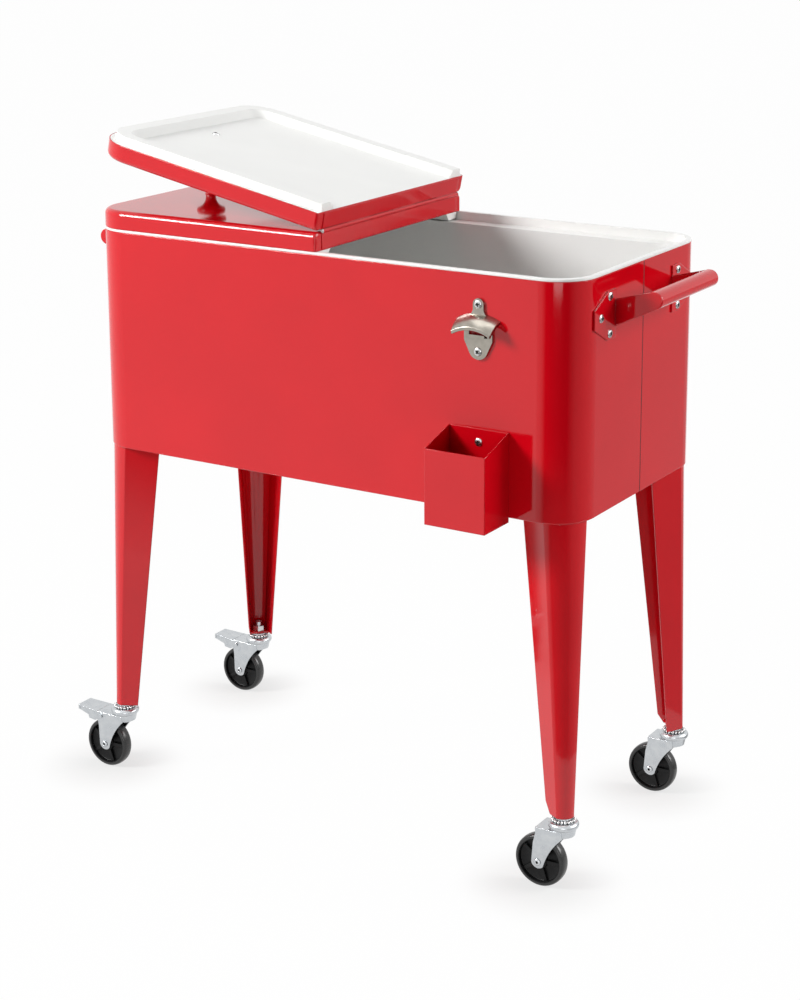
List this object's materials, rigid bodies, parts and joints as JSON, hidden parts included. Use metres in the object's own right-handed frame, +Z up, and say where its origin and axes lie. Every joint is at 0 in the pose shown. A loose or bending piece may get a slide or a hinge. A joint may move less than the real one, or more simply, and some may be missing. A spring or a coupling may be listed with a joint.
{
  "type": "patio cooler cart",
  "caption": "Insulated patio cooler cart on tapered legs with casters, folding lids, end handles, a bottle opener and a cap catcher box.",
  "frame": {"origin": "on the floor under the middle of the tub body", "axes": "+Z up, +X towards the end with the plain casters, -Y towards the front with the bottle opener"},
  "size_m": [0.881, 0.431, 0.9348],
  "materials": {
    "red_powder_coat": "gloss powder coat",
    "red_knob": "gloss",
    "white_plastic": "satin",
    "insulation": "foamed in place",
    "zinc": "bright zinc plate",
    "nickel": "cast, satin nickel plate",
    "bright_steel": "bright",
    "black_wheel": "moulded"
  },
  "bodies": {
    "cart": {"body_insulation": "insulation", "bottle_opener": "nickel", "bottom_pan": "red_powder_coat", "cap_catcher": "red_powder_coat", "caster_nuts": "bright_steel", "caster_stems": "zinc", "catcher_screw": "bright_steel", "drain_fitting": "white_plastic", "drain_nut": "white_plastic", "front_body_panel": "red_powder_coat", "front_left_leg": "red_powder_coat", "front_right_leg": "red_powder_coat", "handle_screws": "bright_steel", "left_handle": "red_powder_coat", "leg_foot_plates": "red_powder_coat", "leg_screws": "bright_steel", "opener_screws": "bright_steel", "rear_body_panel": "red_powder_coat", "rear_left_leg": "red_powder_coat", "rear_right_leg": "red_powder_coat", "right_handle": "red_powder_coat", "tub_liner": "white_plastic"},
    "left_lid": {"left_lid_shell": "red_powder_coat", "left_lid_insulation": "insulation", "left_lid_liner": "white_plastic", "left_knob": "red_knob", "left_knob_screw": "bright_steel", "left_hinge_leaf": "red_powder_coat", "hinge_pin": "bright_steel"},
    "right_lid": {"right_lid_shell": "red_powder_coat", "right_lid_insulation": "insulation", "right_lid_liner": "white_plastic", "right_knob": "red_knob", "right_knob_screw": "bright_steel", "right_hinge_leaf": "red_powder_coat"},
    "drain_cap": {"drain_cap": "white_plastic"},
    "front_left_caster": {"front_left_caster_fork": "zinc", "front_left_axle": "zinc", "front_left_brake_pin": "zinc"},
    "front_left_wheel": {"front_left_wheel": "black_wheel"},
    "front_left_brake": {"front_left_brake_pedal": "zinc"},
    "front_right_caster": {"front_right_caster_fork": "zinc", "front_right_axle": "zinc"},
    "front_right_wheel": {"front_right_wheel": "black_wheel"},
    "rear_left_caster": {"rear_left_caster_fork": "zinc", "rear_left_axle": "zinc", "rear_left_brake_pin": "zinc"},
    "rear_left_wheel": {"rear_left_wheel": "black_wheel"},
    "rear_left_brake": {"rear_left_brake_pedal": "zinc"},
    "rear_right_caster": {"rear_right_caster_fork": "zinc", "rear_right_axle": "zinc"},
    "rear_right_wheel": {"rear_right_wheel": "black_wheel"}
  },
  "joints": [
    {"name": "lid_lift", "type": "slide", "parent": "cart", "child": "left_lid", "axis": [0, 0, 1], "range_m": [0, 0.15]},
    {"name": "right_lid_hinge", "type": "hinge", "parent": "left_lid", "child": "right_lid", "pos_m": [0, 0, 0.8273], "axis": [0, 1, 0], "range_deg": [0, 168.6]},
    {"name": "front_left_swivel", "type": "hinge", "parent": "cart", "child": "front_left_caster", "pos_m": [-0.357, -0.166, 0.09], "axis": [0, 0, 1], "continuous": true},
    {"name": "front_left_wheel_spin", "type": "hinge", "parent": "front_left_caster", "child": "front_left_wheel", "pos_m": [-0.388, -0.166, 0.0355], "axis": [0, 1, 0], "continuous": true},
    {"name": "front_left_brake_press", "type": "hinge", "parent": "front_left_caster", "child": "front_left_brake", "pos_m": [-0.3905, -0.166, 0.0795], "axis": [0, -1, 0], "range_deg": [0, 12]},
    {"name": "front_right_swivel", "type": "hinge", "parent": "cart", "child": "front_right_caster", "pos_m": [0.357, -0.166, 0.09], "axis": [0, 0, 1], "continuous": true},
    {"name": "front_right_wheel_spin", "type": "hinge", "parent": "front_right_caster", "child": "front_right_wheel", "pos_m": [0.326, -0.166, 0.0355], "axis": [0, 1, 0], "continuous": true},
    {"name": "rear_left_swivel", "type": "hinge", "parent": "cart", "child": "rear_left_caster", "pos_m": [-0.357, 0.166, 0.09], "axis": [0, 0, 1], "continuous": true},
    {"name": "rear_left_wheel_spin", "type": "hinge", "parent": "rear_left_caster", "child": "rear_left_wheel", "pos_m": [-0.388, 0.166, 0.0355], "axis": [0, 1, 0], "continuous": true},
    {"name": "rear_left_brake_press", "type": "hinge", "parent": "rear_left_caster", "child": "rear_left_brake", "pos_m": [-0.3905, 0.166, 0.0795], "axis": [0, -1, 0], "range_deg": [0, 12]},
    {"name": "rear_right_swivel", "type": "hinge", "parent": "cart", "child": "rear_right_caster", "pos_m": [0.357, 0.166, 0.09], "axis": [0, 0, 1], "continuous": true},
    {"name": "rear_right_wheel_spin", "type": "hinge", "parent": "rear_right_caster", "child": "rear_right_wheel", "pos_m": [0.326, 0.166, 0.0355], "axis": [0, 1, 0], "continuous": true},
    {"name": "drain_cap_pull", "type": "slide", "parent": "cart", "child": "drain_cap", "axis": [0, 0, -1], "range_m": [0, 0.04]}
  ]
}
